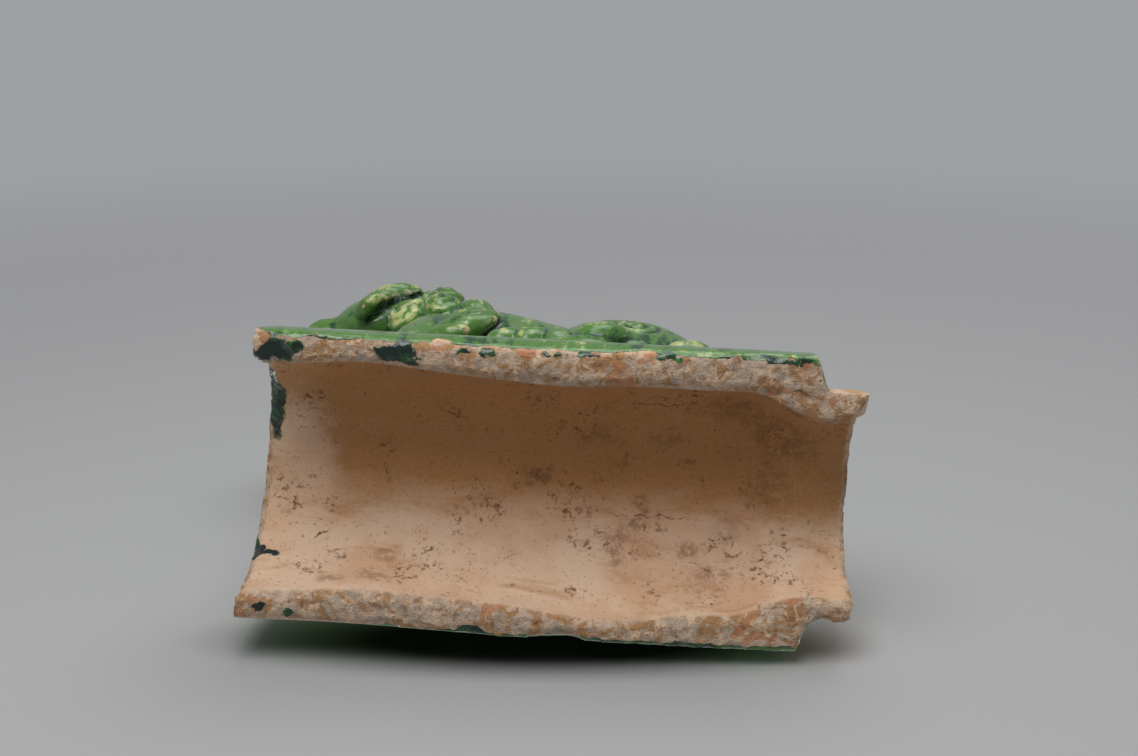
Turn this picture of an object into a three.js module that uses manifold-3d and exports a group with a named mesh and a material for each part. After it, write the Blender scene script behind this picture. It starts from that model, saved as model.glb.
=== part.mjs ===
// A glazed roof ornament tile: a half-round ridge tile with a seated guardian beast on its crown.
// Millimetres, +Z up. The tile lies along X, open end at -X and tenon at +X, and stands on its two long
// edges at z = 0. The beast faces the open end. All of it is one fired-clay body.
//
// Everything is worked out in tile coordinates, with x = 0 at the open end and y = 0 on the ridge line.
// The finished body is then centred on its own footprint.
import * as THREE from "three";
import { mergeVertices } from "three/addons/utils/BufferGeometryUtils.js";
import Module from "manifold-3d";

const wasm = await Module();
wasm.setup();

// ---- The tile ----
const BARREL_LENGTH = 233; // open end to shoulder, along the crown
const TENON_LENGTH = 19;
const TILE_LENGTH = BARREL_LENGTH + TENON_LENGTH;
const OUTER = { half: 62.5, rise: 66, power: 2.3 }; // power 2 is an ellipse, more is squarer
const INNER = { half: 47.5, rise: 52, power: 2.5 };
const SHOULDER = { from: 229.5, to: 235.5, in: 14, down: 13 };
const THROAT = { from: 200, to: 231, in: 9.5, down: 8 }; // the hollow narrows towards the tenon
const END_SKEW = 0.06; // the open end isn't square: shift along X for each mm across
const RIM_BEVEL = { reach: 9, out: 3 };
const CHIP_RISE = 11; // how far up the outside a chipped long edge reaches
const EDGE_BREAK = 2.2; // how far the long edges' inner corners are broken back
const SEGMENTS = { around: 24, wall: 4 };
const STATION_STEP = 22;

// Where the long edges are chipped outside and swollen inside: middle along x, half reach, amount.
const OUTER_CHIPS = {
  left: [{ at: 112, reach: 60, by: 3.6 }],
  right: [{ at: 30, reach: 62, by: 4.2 }],
};
const INNER_SWELLS = {
  left: [
    { at: 45, reach: 26, by: 3 },
    { at: 128, reach: 34, by: -3 },
    { at: 190, reach: 24, by: -1.5 },
    { at: 236, reach: 9, by: -3.5 },
  ],
  right: [
    { at: 52, reach: 34, by: -3 },
    { at: 150, reach: 28, by: 5 },
  ],
};

// ---- The beast ----
const SIDES = [-1, 1];
const HAUNCH = { x: 154, y: 34, z: 100, radii: [40, 22, 40] };
const FORELEG_Y = 31; // forelegs each side of the ridge line
const MANE = { x: 66, z: 182, radii: [36, 47, 42] };
const HEAD = { x: 28, z: 222 };
const CURL = { radius: 11.5, height: 8 }; // a mane curl, a round boss lying on the mane
const CURL_ROWS = [
  { tilt: 58, count: 10 },
  { tilt: 87, count: 12 },
  { tilt: 115, count: 11 },
];

const CLAY = { color: 0x5d7a3a, roughness: 0.35, metalness: 0 };

const radians = THREE.MathUtils.degToRad;
const bell = (x, { at, reach, by }) => by * Math.exp(-(((x - at) / reach) ** 2));
const swell = (x, bumps) => bumps.reduce((sum, bump) => sum + bell(x, bump), 0);

// Puts a geometry at a place, with a turn and a size.
function settle(geometry, place, turn, size) {
  return geometry.applyMatrix4(new THREE.Matrix4().compose(place, turn, size));
}

// Moves every vertex of a geometry to where place(vertex) puts it.
function reshape(geometry, place) {
  const position = geometry.attributes.position;
  const vertex = new THREE.Vector3();
  for (let i = 0; i < position.count; i++) {
    vertex.fromBufferAttribute(position, i);
    place(vertex);
    position.setXYZ(i, vertex.x, vertex.y, vertex.z);
  }
  return geometry;
}

// A closed geometry as a solid that can be joined to others.
function solidOf(geometry) {
  geometry.deleteAttribute("normal");
  geometry.deleteAttribute("uv");
  const merged = mergeVertices(geometry, 1e-4);
  return new wasm.Manifold(
    new wasm.Mesh({
      numProp: 3,
      vertProperties: new Float32Array(merged.attributes.position.array),
      triVerts: new Uint32Array(merged.index.array),
    }),
  );
}

// ---- Tile: a slab bent into a barrel ----

// The stations along the barrel, closer together at the rim and at the shoulder.
function stationsAlong() {
  const even = Math.round((SHOULDER.from - RIM_BEVEL.reach) / STATION_STEP);
  const step = (SHOULDER.from - RIM_BEVEL.reach) / even;
  const stations = [0, RIM_BEVEL.reach / 3];
  for (let i = 0; i <= even; i++) stations.push(RIM_BEVEL.reach + i * step);
  const shoulderMiddle = (SHOULDER.from + SHOULDER.to) / 2;
  return [...stations, shoulderMiddle, SHOULDER.to, (SHOULDER.to + TILE_LENGTH) / 2, TILE_LENGTH];
}

// A point of a squared arch at an angle from its crown, 0 to 90 degrees each side.
function archPoint(half, rise, power, angle) {
  const side = Math.sign(angle);
  const y = side * half * Math.abs(Math.sin(angle)) ** (2 / power);
  const z = rise * Math.abs(Math.cos(angle)) ** (2 / power);
  return { y, z: z < 1e-6 ? 0 : z };
}

function outerPoint(x, angle) {
  const stepped = THREE.MathUtils.smoothstep(x, SHOULDER.from, SHOULDER.to);
  const half = OUTER.half - SHOULDER.in * stepped;
  const point = archPoint(half, OUTER.rise - SHOULDER.down * stepped, OUTER.power, angle);
  const chips = angle < 0 ? OUTER_CHIPS.left : OUTER_CHIPS.right;
  const nearEdge = Math.max(0, 1 - point.z / CHIP_RISE);
  point.y -= Math.sign(angle) * swell(x, chips) * nearEdge * (1 - stepped);
  return point;
}

function innerPoint(x, angle) {
  const narrowed = THREE.MathUtils.smoothstep(x, THROAT.from, THROAT.to);
  const bevel = RIM_BEVEL.out * Math.max(0, 1 - x / RIM_BEVEL.reach) ** 2;
  const swells = angle < 0 ? INNER_SWELLS.left : INNER_SWELLS.right;
  const nearEdge = Math.sin(angle) ** 4;
  const half = INNER.half - THROAT.in * narrowed + bevel + swell(x, swells) * nearEdge;
  return archPoint(half, INNER.rise - THROAT.down * narrowed + bevel, INNER.power, angle);
}

function barrelTile() {
  const stations = stationsAlong();
  const along = stations.length - 1;
  const slab = new THREE.BoxGeometry(1, 1, 1, along, SEGMENTS.around, SEGMENTS.wall);
  return reshape(slab, (vertex) => {
    const x = stations[Math.round((vertex.x + 0.5) * along)];
    const angle = vertex.y * Math.PI;
    const through = vertex.z + 0.5; // 0 on the hollow's side, 1 on the glazed outside
    const inner = innerPoint(x, angle);
    const outer = outerPoint(x, angle);
    const y = THREE.MathUtils.lerp(inner.y, outer.y, through);
    const onEdge = Math.abs(vertex.y) === 0.5;
    const corner = through === 0 ? EDGE_BREAK : through === 1 ? EDGE_BREAK / 2 : 0;
    const z = onEdge ? corner : THREE.MathUtils.lerp(inner.z, outer.z, through);
    vertex.set(x - END_SKEW * y * Math.max(0, 1 - x / BARREL_LENGTH), y, z);
  });
}

// ---- Beast: rounded masses of clay pressed together ----

// An egg-shaped mass: centre, radii, and turns in degrees about X, Y and Z. Small ones have fewer faces.
function egg([x, y, z], radii, turns = [0, 0, 0]) {
  const size = Math.max(...radii);
  const around = size > 24 ? 14 : size > 11 ? 10 : 6;
  const sphere = new THREE.SphereGeometry(1, around, Math.ceil(around * 0.6));
  const turn = new THREE.Quaternion().setFromEuler(new THREE.Euler(...turns.map(radians)));
  return solidOf(settle(sphere, new THREE.Vector3(x, y, z), turn, new THREE.Vector3(...radii)));
}

// A limb drawn out along a curve through knots of [x, y, z, half width, half depth], with round ends.
function limb(knots, around = 9, rings = 9) {
  const curve = new THREE.CatmullRomCurve3(knots.map(([x, y, z]) => new THREE.Vector3(x, y, z)));
  const girths = new THREE.CatmullRomCurve3(knots.map((knot) => new THREE.Vector3(knot[3], knot[4], 0)));
  const length = curve.getLength();
  const sphere = new THREE.SphereGeometry(1, around, rings);
  return solidOf(
    reshape(sphere, (vertex) => {
      const t = THREE.MathUtils.clamp((1 - vertex.y) / 2, 0, 1);
      const ahead = curve.getTangent(t);
      const across = new THREE.Vector3(0, 1, 0).addScaledVector(ahead, -ahead.y).normalize();
      const deep = new THREE.Vector3().crossVectors(ahead, across);
      const girth = girths.getPoint(t);
      const toEnd = Math.min(1, (Math.min(t, 1 - t) * length) / girth.x);
      const fullness = Math.sqrt(1 - (1 - toEnd) ** 2) / (Math.hypot(vertex.x, vertex.z) || 1);
      const { x: wide, z: tall } = vertex;
      vertex
        .copy(curve.getPoint(t))
        .addScaledVector(across, wide * fullness * girth.x)
        .addScaledVector(deep, tall * fullness * girth.y);
    }),
  );
}

function torso() {
  const trunk = [
    [180, 0, 86, 30, 22],
    [162, 0, 108, 44, 34],
    [124, 0, 132, 49, 36],
    [92, 0, 154, 50, 37],
    [66, 0, 180, 45, 34],
    [54, 0, 206, 34, 26],
  ];
  const belly = [
    [168, 0, 80, 28, 20],
    [120, 0, 88, 26, 26],
    [78, 0, 100, 26, 34],
    [46, 0, 104, 20, 30],
  ];
  const chest = egg([54, 0, 148], [27, 40, 42]);
  return [limb(trunk, 14, 12), limb(belly, 10, 8), chest];
}

function hindLeg(side) {
  const foot = [104, side * 38, 62];
  const shank = [
    [150, side * 43, 78, 13, 17],
    [130, side * 42, 70, 12, 14],
    [108, side * 39, 64, 12, 11],
  ];
  const toes = [-9, 0, 9].map((out) =>
    egg([foot[0] - 15, foot[1] + side * out, foot[2] - 2 - out * 0.45], [8, 5.5, 7]),
  );
  const thigh = egg([HAUNCH.x, side * HAUNCH.y, HAUNCH.z], HAUNCH.radii, [-8 * side, 22, 0]);
  return [thigh, limb(shank), egg(foot, [18, 14, 11], [-28 * side, 0, 0]), ...toes];
}

function foreleg(side) {
  const y = side * FORELEG_Y;
  const bones = [
    [70, y, 160, 18, 22],
    [61, y + side, 126, 16, 17],
    [49, y - side, 96, 13, 14],
    [40, y - side * 2, 72, 14, 13],
  ];
  const pawY = y - side * 3;
  const toes = [-10, 0, 10].map((out) => egg([16, pawY + out * side, 66 - out * 0.35], [8, 5.5, 7]));
  return [limb(bones), egg([31, pawY, 68], [18, 15, 11], [-20 * side, 0, 0]), ...toes];
}

// One round boss lying on the mane, its pole along the mane's own normal.
function curl(tilt, around) {
  const [rx, ry, rz] = MANE.radii;
  const toward = new THREE.Vector3(
    -Math.cos(tilt),
    Math.sin(tilt) * Math.sin(around),
    Math.sin(tilt) * Math.cos(around),
  );
  const normal = new THREE.Vector3(toward.x / rx, toward.y / ry, toward.z / rz).normalize();
  const place = new THREE.Vector3(MANE.x + rx * toward.x, ry * toward.y, MANE.z + rz * toward.z);
  const turn = new THREE.Quaternion().setFromUnitVectors(new THREE.Vector3(0, 1, 0), normal);
  const size = new THREE.Vector3(CURL.radius, CURL.height, CURL.radius);
  return solidOf(settle(new THREE.SphereGeometry(1, 7, 4), place, turn, size));
}

function mane() {
  const curls = CURL_ROWS.flatMap(({ tilt, count }, row) => {
    const offset = (row % 2) / 2;
    const turns = Array.from({ length: count }, (_, i) => ((i + offset) / count) * 2 * Math.PI);
    return turns.map((turn) => curl(radians(tilt), turn));
  });
  return [egg([MANE.x, 0, MANE.z], MANE.radii), ...curls];
}

function head() {
  const { x, z } = HEAD;
  const paired = SIDES.flatMap((side) => [
    egg([x - 17, side * 18, z + 14], [12, 15, 8], [side * -14, 0, side * 22]), // brow
    egg([x - 23, side * 18, z + 4], [8, 9, 8]), // eye
    egg([x - 25, side * 17, z - 10], [16, 17, 12]), // cheek of the muzzle
    egg([x - 1, side * 31, z - 8], [21, 14, 22], [0, 0, side * 12]), // jowl
    egg([x + 12, side * 36, z + 10], [17, 7, 12], [side * -30, -30, side * 14]), // ear, laid back
  ]);
  return [
    egg([x, 0, z], [32, 40, 29]),
    egg([x - 22, 0, z - 5], [24, 31, 17]),
    egg([x - 39, 0, z - 1], [8, 11, 8]), // nose
    egg([x - 16, 0, z - 27], [18, 21, 10]), // lower jaw
    ...paired,
  ];
}

function tail() {
  const plume = [
    [184, 0, 86, 9, 10],
    [203, 0, 104, 13, 10],
    [205, 0, 134, 17, 11],
    [192, 0, 162, 13, 9],
    [177, 0, 172, 6, 6],
  ];
  const tufts = SIDES.map((side) =>
    limb([
      [194, side * 6, 96, 7, 8],
      [202, side * 18, 120, 10, 8],
      [192, side * 23, 146, 4, 5],
    ]),
  );
  return [limb(plume), ...tufts];
}

// The low crest down the spine, from behind the mane to the tail.
function spine() {
  return [
    limb([
      [92, 0, 186, 7, 9],
      [126, 0, 166, 7, 9],
      [160, 0, 142, 7, 9],
      [190, 0, 108, 7, 9],
    ]),
  ];
}

const masses = [
  ...torso(),
  ...SIDES.flatMap(hindLeg),
  ...SIDES.flatMap(foreleg),
  ...mane(),
  ...head(),
  ...tail(),
  ...spine(),
];
const body = masses.reduce((whole, mass) => whole.add(mass), solidOf(barrelTile()));

// The joined solid as a three.js geometry, centred over its footprint.
function geometryOf(solid) {
  const { numProp, vertProperties, triVerts } = solid.getMesh();
  const geometry = new THREE.BufferGeometry();
  geometry.setAttribute("position", new THREE.BufferAttribute(vertProperties, numProp));
  geometry.setIndex(new THREE.BufferAttribute(triVerts, 1));
  geometry.computeBoundingBox();
  const middle = geometry.boundingBox.getCenter(new THREE.Vector3());
  return geometry.translate(-middle.x, -middle.y, -geometry.boundingBox.min.z);
}

const ornament = new THREE.Mesh(geometryOf(body), new THREE.MeshStandardMaterial(CLAY));
ornament.name = "ornament_tile";

const part = new THREE.Group();
part.add(ornament);

export default part;
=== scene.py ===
import math

import bpy
import numpy as np
from mathutils import Euler, Matrix, Vector


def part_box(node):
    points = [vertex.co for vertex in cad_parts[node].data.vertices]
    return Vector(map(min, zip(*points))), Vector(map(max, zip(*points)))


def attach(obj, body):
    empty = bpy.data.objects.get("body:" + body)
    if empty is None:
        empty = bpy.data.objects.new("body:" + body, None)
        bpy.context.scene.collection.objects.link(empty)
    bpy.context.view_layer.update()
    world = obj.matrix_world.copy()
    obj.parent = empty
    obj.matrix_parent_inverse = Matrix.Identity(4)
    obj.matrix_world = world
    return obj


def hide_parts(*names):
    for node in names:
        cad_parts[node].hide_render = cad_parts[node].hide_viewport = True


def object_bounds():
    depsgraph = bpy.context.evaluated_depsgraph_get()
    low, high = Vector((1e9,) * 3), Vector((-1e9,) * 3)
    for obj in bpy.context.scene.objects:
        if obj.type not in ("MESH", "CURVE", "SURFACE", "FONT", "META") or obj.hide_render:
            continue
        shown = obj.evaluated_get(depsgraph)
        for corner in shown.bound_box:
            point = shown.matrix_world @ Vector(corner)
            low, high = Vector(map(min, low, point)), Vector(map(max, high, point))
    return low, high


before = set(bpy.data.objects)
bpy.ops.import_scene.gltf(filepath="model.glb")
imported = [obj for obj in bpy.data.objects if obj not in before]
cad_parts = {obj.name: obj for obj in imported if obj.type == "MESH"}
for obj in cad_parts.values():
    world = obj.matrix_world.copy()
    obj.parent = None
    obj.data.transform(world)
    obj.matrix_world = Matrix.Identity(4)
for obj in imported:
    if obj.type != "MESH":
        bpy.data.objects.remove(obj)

bl_info = {
    "name": "Roof Ornament Tile",
    "version": (1, 0, 0),
    "blender": (4, 5, 0),
    "location": "3D View > Sidebar > Ornament",
    "description": "A glazed ridge tile with a seated guardian beast on its crown",
    "category": "Object",
}

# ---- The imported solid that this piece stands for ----
CAD_NODE = "ornament_tile"
CAD_BOX = [list(corner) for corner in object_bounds()]
BOX_LOW, BOX_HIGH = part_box(CAD_NODE)

# Places below are millimetres in tile coordinates: x from the open end, y from the ridge line, z from the
# plane that the long edges stand on. The tenon's end lies on the solid's high side in x.
MM = 0.001
TILE_LENGTH = 252.0
TILE_ORIGIN = np.array([BOX_HIGH.x / MM - TILE_LENGTH, 0.0, BOX_LOW.z / MM])

# ---- Shape of the barrel ----

# The outer and inner arches: half width, rise, and the power that squares them.
OUTER = {"half": 62.5, "rise": 66.0, "power": 2.3}
INNER = {"half": 47.5, "rise": 52.0, "power": 2.5}
BARREL_LENGTH = 233.0

# The step down to the tenon outside, and the narrowing of the hollow inside.
SHOULDER = {"start": 229.5, "end": 235.5, "step_in": 14.0, "step_down": 13.0}
THROAT = {"start": 200.0, "end": 231.0, "step_in": 9.5, "step_down": 8.0}

# The open end leans this far along the tile for each millimetre across it, and its inner rim flares.
END_SKEW = 0.06
RIM_BEVEL = {"reach": 9.0, "out": 3.0}

# How far up the outside the broad chips bite, how far the long edges are broken back, and how finely the
# slab is cut. Then the broad chips and swells by side: place along the tile, reach and depth.
CHIP_RISE = 11.0
EDGE_BREAK = 2.2
SLAB_CUTS = 110
OUTER_CHIPS = {-1: [(112, 60, 3.6)], 1: [(30, 62, 4.2)]}
INNER_SWELLS = {
    -1: [(45, 26, 3.0), (128, 34, -3.0), (190, 24, -1.5), (236, 9, -3.5)],
    1: [(52, 34, -3.0), (150, 28, 5.0)],
}

# ---- Shape of the beast ----

SIDES = (-1, 1)
HAUNCH = {"x": 154, "y": 33.5, "z": 100, "radii": (40, 21, 40)}
FORELEG_Y = 31
MANE = {"centre": (66, 0, 182), "radii": (36, 47, 42)}
HEAD = (28, 0, 222)
CLAW_LENGTH = 6.5

# The mane's curls: their size, how often each winds, and the rows' tilt from the front in degrees and count.
CURL_RADIUS = 11.5
CURL_HEIGHT = 6.2
CURL_TURNS = 2.15
CURL_ROWS = [(58, 10), (87, 12), (115, 11)]

# The knots that the spine and its crest follow.
SPINE = [(92, 0, 186), (126, 0, 166), (160, 0, 142), (190, 0, 108)]

# Spirals carved on the haunches and shoulders: middle in x and z, reach, and which way they wind. Then how
# far apart their turns lie and how deep they are cut.
JOINT_SPIRALS = [((158, 104), 17, 1), ((76, 152), 13, -1)]
SPIRAL_PITCH = 6.0
SPIRAL_DEPTH = 1.5


# ---- Small tools ----

def row(points):
    """Tile millimetres as metres in the shared frame."""
    return (np.asarray(points, float) + TILE_ORIGIN) * MM


def tile(points):
    """Metres in the shared frame as tile millimetres."""
    return np.asarray(points, float) / MM - TILE_ORIGIN


def smoothstep(x, low, high):
    t = np.clip((x - low) / (high - low), 0.0, 1.0)
    return t * t * (3.0 - 2.0 * t)


def bell(x, middle, reach):
    return np.exp(-(((x - middle) / reach) ** 2))


def deselect():
    if bpy.context.object and bpy.context.object.mode != "OBJECT":
        bpy.ops.object.mode_set(mode="OBJECT")
    bpy.ops.object.select_all(action="DESELECT")


def select_only(*objects):
    deselect()
    for obj in objects:
        obj.select_set(True)
    bpy.context.view_layer.objects.active = objects[0]


def join(name, objects):
    """Joins objects into the first one and names it."""
    select_only(*objects)
    bpy.ops.object.join()
    joined = bpy.context.object
    joined.name = name
    joined.data.name = name
    return joined


def finish_modifier(obj, kind, **settings):
    """Adds a modifier, sets it and applies it."""
    select_only(obj)
    modifier = obj.modifiers.new(kind.title(), kind)
    for key, value in settings.items():
        setattr(modifier, key, value)
    bpy.ops.object.modifier_apply(modifier=modifier.name)


def corners(obj):
    co = np.empty(len(obj.data.vertices) * 3)
    obj.data.vertices.foreach_get("co", co)
    return co.reshape(-1, 3)


def set_corners(obj, points):
    obj.data.vertices.foreach_set("co", np.asarray(points, float).ravel())
    obj.data.update()


def normals(obj):
    out = np.empty(len(obj.data.vertices) * 3)
    obj.data.vertices.foreach_get("normal", out)
    return out.reshape(-1, 3)


def edges(obj):
    out = np.empty(len(obj.data.edges) * 2, dtype=np.int32)
    obj.data.edges.foreach_get("vertices", out)
    return out.reshape(-1, 2)


def relax(values, pairs, rounds):
    """Averages each vertex's value with its neighbours', some rounds over."""
    count = len(values)
    ends = np.concatenate([pairs[:, 0], pairs[:, 1]])
    others = np.concatenate([pairs[:, 1], pairs[:, 0]])
    share = np.maximum(np.bincount(ends, minlength=count), 1)
    out = np.array(values, float)
    for _ in range(rounds):
        columns = [np.bincount(ends, out[others, k], count) / share for k in range(out.shape[1])]
        out = 0.5 * out + 0.5 * np.stack(columns, axis=1)
    return out


def lattice_value(cells, seed):
    """A repeatable number from 0 to 1 for each whole-number cell."""
    bits = cells[:, 0] * 374761393 + cells[:, 1] * 668265263 + cells[:, 2] * 2147483647 + seed * 144665
    bits = (bits ^ (bits >> 13)) * 1274126177
    return ((bits ^ (bits >> 16)) & 0xFFFFFF) / float(0xFFFFFF)


def noise(points, size, seed):
    """Smooth noise from -1 to 1 with lumps of about this size."""
    scaled = points / size
    base = np.floor(scaled).astype(np.int64)
    part = scaled - base
    part = part * part * (3.0 - 2.0 * part)
    total = np.zeros(len(points))
    for corner in range(8):
        step = np.array([corner & 1, corner >> 1 & 1, corner >> 2 & 1])
        weight = np.prod(np.where(step, part, 1.0 - part), axis=1)
        total += weight * lattice_value(base + step, seed)
    return total * 2.0 - 1.0


def rough(points, size, seed):
    """Noise with finer lumps laid over coarse ones."""
    weights = (1.0, 0.5, 0.25)
    total = sum(weight * noise(points, size / 2**k, seed + k) for k, weight in enumerate(weights))
    return total / sum(weights)


# ---- Lumps of clay ----

def egg(centre, radii, turns=(0, 0, 0), fine=32):
    """An egg-shaped lump: centre and radii in tile millimetres, turns in degrees about X, Y and Z."""
    deselect()
    turn = Euler([math.radians(a) for a in turns], "ZYX").to_matrix().to_euler("XYZ")
    bpy.ops.mesh.primitive_uv_sphere_add(
        segments=fine, ring_count=fine * 2 // 3, radius=1.0, location=row(centre), rotation=turn
    )
    lump = bpy.context.object
    lump.scale = [r * MM for r in radii]
    bpy.ops.object.transform_apply(location=True, rotation=True, scale=True)
    return lump


def spline(knots, t):
    """Points on a smooth curve through the knots, for t from 0 to 1."""
    knots = np.asarray(knots, float)
    padded = np.vstack([2 * knots[0] - knots[1], knots, 2 * knots[-1] - knots[-2]])
    span = np.clip(t, 0, 1) * (len(knots) - 1)
    first = np.minimum(span.astype(int), len(knots) - 2)
    u = (span - first)[:, None]
    a, b, c, d = (padded[first + k] for k in range(4))
    return 0.5 * (2 * b + (c - a) * u + (2 * a - 5 * b + 4 * c - d) * u**2 + (3 * b - a - 3 * c + d) * u**3)


def drawn(knots, around=20, rings=36, level=(0.0, 1.0, 0.0)):
    """A lump drawn out along a curve through knots of (x, y, z, half width, half depth), with round ends.

    Its width lies along level, as far as the curve lets it."""
    deselect()
    bpy.ops.mesh.primitive_uv_sphere_add(segments=around, ring_count=rings, radius=1.0)
    lump = bpy.context.object
    knots = np.asarray(knots, float)
    unit = corners(lump)
    t = (1.0 - unit[:, 2]) / 2.0
    middle = spline(knots[:, :3], t)
    ahead = spline(knots[:, :3], np.minimum(t + 0.01, 1)) - spline(knots[:, :3], np.maximum(t - 0.01, 0))
    ahead /= np.linalg.norm(ahead, axis=1)[:, None]
    across = np.array(level) - ahead * (ahead @ np.array(level))[:, None]
    across /= np.linalg.norm(across, axis=1)[:, None]
    deep = np.cross(ahead, across)
    girth = spline(knots[:, 3:5], t)
    length = np.linalg.norm(np.diff(spline(knots[:, :3], np.linspace(0, 1, 50)), axis=0), axis=1).sum()
    to_end = np.minimum(1.0, np.minimum(t, 1 - t) * length / np.maximum(girth[:, 0], 0.1))
    radial = np.hypot(unit[:, 0], unit[:, 1])
    fullness = np.sqrt(1 - (1 - to_end) ** 2) / np.where(radial > 1e-6, radial, 1.0)
    wide = (unit[:, 0] * fullness * girth[:, 0])[:, None]
    tall = (unit[:, 1] * fullness * girth[:, 1])[:, None]
    set_corners(lump, row(middle + across * wide + deep * tall))
    return lump


def lock(root, tip, width, lift=0.0, bend=(0, 0, 0), depth=None):
    """A lock of hair: a tapering lump from root to tip that bows out by bend and lifts at its tip."""
    root, tip, bend = (np.asarray(p, float) for p in (root, tip, bend))
    depth = depth or width
    steps = np.linspace(0, 1, 5)
    taper = np.array([0.75, 1.0, 0.85, 0.55, 0.22])
    knots = []
    for s, k in zip(steps, taper):
        point = root + (tip - root) * s + bend * 4 * s * (1 - s) + np.array([0, 0, lift]) * s**2
        knots.append((*point, width * k, depth * k))
    return drawn(knots, around=14, rings=20)


# ---- What a user would change ----

class OrnamentSizes(bpy.types.PropertyGroup):
    form_grid: bpy.props.FloatProperty(
        name="Form grid", description="Grid that the beast's soft masses are merged on",
        default=0.0018, min=0.001, unit="LENGTH")
    detail_grid: bpy.props.FloatProperty(
        name="Detail grid", description="Grid of the finished surface",
        default=0.00105, min=0.0006, unit="LENGTH")
    softening: bpy.props.IntProperty(
        name="Softening", description="How many rounds the beast's masses are smoothed together",
        default=9, min=0)
    face_budget: bpy.props.IntProperty(
        name="Face budget", description="Triangles in the finished piece", default=192000, min=10000)
    edge_ruin: bpy.props.FloatProperty(
        name="Edge wear", description="How far broken clay edges stray from their line",
        default=0.0009, unit="LENGTH")


class OrnamentColours(bpy.types.PropertyGroup):
    glaze: bpy.props.FloatVectorProperty(
        name="Glaze", description="Copper green where the glaze is of middling thickness",
        default=(0.075, 0.185, 0.035), size=3, subtype="COLOR")
    glaze_deep: bpy.props.FloatVectorProperty(
        name="Deep glaze", description="Where the glaze lies thicker",
        default=(0.016, 0.065, 0.020), size=3, subtype="COLOR")
    glaze_pooled: bpy.props.FloatVectorProperty(
        name="Pooled glaze", description="Nearly black green where the glaze gathered",
        default=(0.005, 0.018, 0.012), size=3, subtype="COLOR")
    glaze_thin: bpy.props.FloatVectorProperty(
        name="Thin glaze", description="Where glaze ran thin over raised places",
        default=(0.40, 0.44, 0.17), size=3, subtype="COLOR")
    glaze_film: bpy.props.FloatVectorProperty(
        name="Weathered glaze", description="Greyish film on old glaze",
        default=(0.21, 0.215, 0.19), size=3, subtype="COLOR")
    clay: bpy.props.FloatVectorProperty(
        name="Clay", description="Bare fired clay",
        default=(0.60, 0.375, 0.235), size=3, subtype="COLOR")
    clay_pale: bpy.props.FloatVectorProperty(
        name="Pale clay", description="Powdery bare clay",
        default=(0.68, 0.49, 0.345), size=3, subtype="COLOR")
    clay_grey: bpy.props.FloatVectorProperty(
        name="Grey clay", description="Greyish deposit on broken clay",
        default=(0.40, 0.32, 0.25), size=3, subtype="COLOR")
    clay_fresh: bpy.props.FloatVectorProperty(
        name="Fresh clay", description="Cream clay in the newest chips",
        default=(0.76, 0.52, 0.33), size=3, subtype="COLOR")
    clay_orange: bpy.props.FloatVectorProperty(
        name="Orange clay", description="Orange clay in some chips",
        default=(0.52, 0.20, 0.085), size=3, subtype="COLOR")
    # Ochre also serves as painted shade, laid with the wash on the hollow's shaded side.
    ochre: bpy.props.FloatVectorProperty(
        name="Ochre", description="Yellow-brown wash and patches of earth",
        default=(0.40, 0.19, 0.055), size=3, subtype="COLOR")
    stain: bpy.props.FloatVectorProperty(
        name="Iron stain", description="Dark brown specks and stains",
        default=(0.13, 0.050, 0.014), size=3, subtype="COLOR")


class OrnamentStudio(bpy.types.PropertyGroup):
    floor: bpy.props.FloatVectorProperty(
        name="Floor", description="Colour of the pale floor", default=(0.37, 0.37, 0.372),
        size=3, subtype="COLOR")
    standing_floor: bpy.props.FloatVectorProperty(
        name="Standing floor", description="Colour of the pale floor that the tile stands on",
        default=(0.50, 0.50, 0.505), size=3, subtype="COLOR")
    backdrop: bpy.props.FloatVectorProperty(
        name="Backdrop", description="Plain grey behind everything", default=(0.345, 0.35, 0.36),
        size=3, subtype="COLOR")
    key_power: bpy.props.FloatProperty(
        name="Key light", description="Power of the large soft light", default=11.0, min=0, unit="POWER")
    side_power: bpy.props.FloatProperty(
        name="Side light", description="Power of the soft light high on the side", default=7.0, min=0, unit="POWER")
    top_power: bpy.props.FloatProperty(
        name="Top light", description="Power of the soft light overhead", default=16.0, min=0, unit="POWER")
    fill_power: bpy.props.FloatProperty(
        name="Fill lights", description="Power of each soft fill light", default=4.0, min=0, unit="POWER")
    ambient: bpy.props.FloatProperty(
        name="Ambient", description="Strength of the plain surroundings", default=0.30, min=0)
    lens: bpy.props.FloatProperty(
        name="Lens", description="Focal length on a 36 mm wide sensor", default=54.6, unit="CAMERA")


# ---- Barrel tile ----

def arch(half, rise, power, angle):
    """A squared arch, at angles from its crown."""
    y = np.sign(angle) * half * np.abs(np.sin(angle)) ** (2 / power)
    z = rise * np.maximum(np.cos(angle), 0.0) ** (2 / power)
    return y, z


def outer_arch(x, angle):
    stepped = smoothstep(x, SHOULDER["start"], SHOULDER["end"])
    half = OUTER["half"] - SHOULDER["step_in"] * stepped
    y, z = arch(half, OUTER["rise"] - SHOULDER["step_down"] * stepped, OUTER["power"], angle)
    side = np.where(angle < 0, -1, 1)
    chip = sum(np.where(side == s, by * bell(x, at, reach), 0)
               for s, chips in OUTER_CHIPS.items() for at, reach, by in chips)
    near_edge = np.maximum(0, 1 - z / CHIP_RISE) * (1 - stepped)
    return y - side * chip * near_edge, z


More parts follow.
